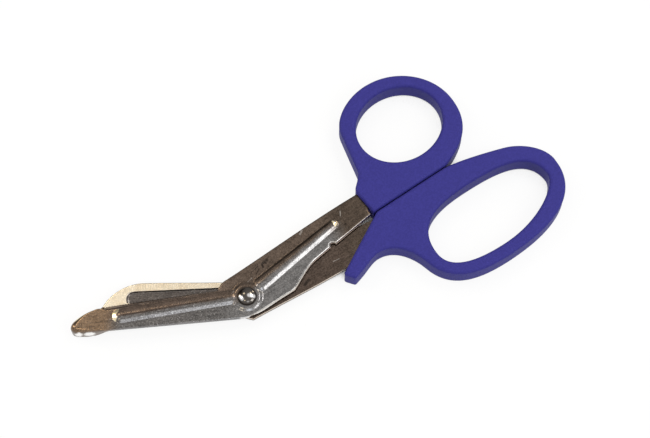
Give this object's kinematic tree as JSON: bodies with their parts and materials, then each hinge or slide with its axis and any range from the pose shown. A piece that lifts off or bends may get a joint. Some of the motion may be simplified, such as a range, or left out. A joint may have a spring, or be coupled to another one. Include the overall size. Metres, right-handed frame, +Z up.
{
  "type": "utility scissors",
  "caption": "Bent utility scissors with a blunt safety foot, toothed jaw, pressed ribs, domed rivet, oval thumb ring and long finger loop with a hook.",
  "frame": {"origin": "middle of the base of the closed scissors' box, on the table they lie on", "axes": "+X along the line where the handles close, from the jaws to the handles; +Y to the thumb ring's side; +Z up, through the thickness"},
  "size_m": [0.1838, 0.0864, 0.009],
  "materials": {
    "blade_steel": "tumbled, with ground cutting edges",
    "rivet_steel": "polished",
    "handle_plastic": "fine moulded texture"
  },
  "bodies": {
    "thumb_half": {"front_blade": "blade_steel", "thumb_handle": "handle_plastic", "pivot_rivet": "rivet_steel"},
    "finger_half": {"rear_blade": "blade_steel", "finger_handle": "handle_plastic"}
  },
  "joints": [
    {"name": "scissors_opening", "type": "hinge", "parent": "thumb_half", "child": "finger_half", "pos_m": [-0.03274, -0.0012, 0.0045], "axis": [0, 0, -1], "range_deg": [0, 70]}
  ]
}
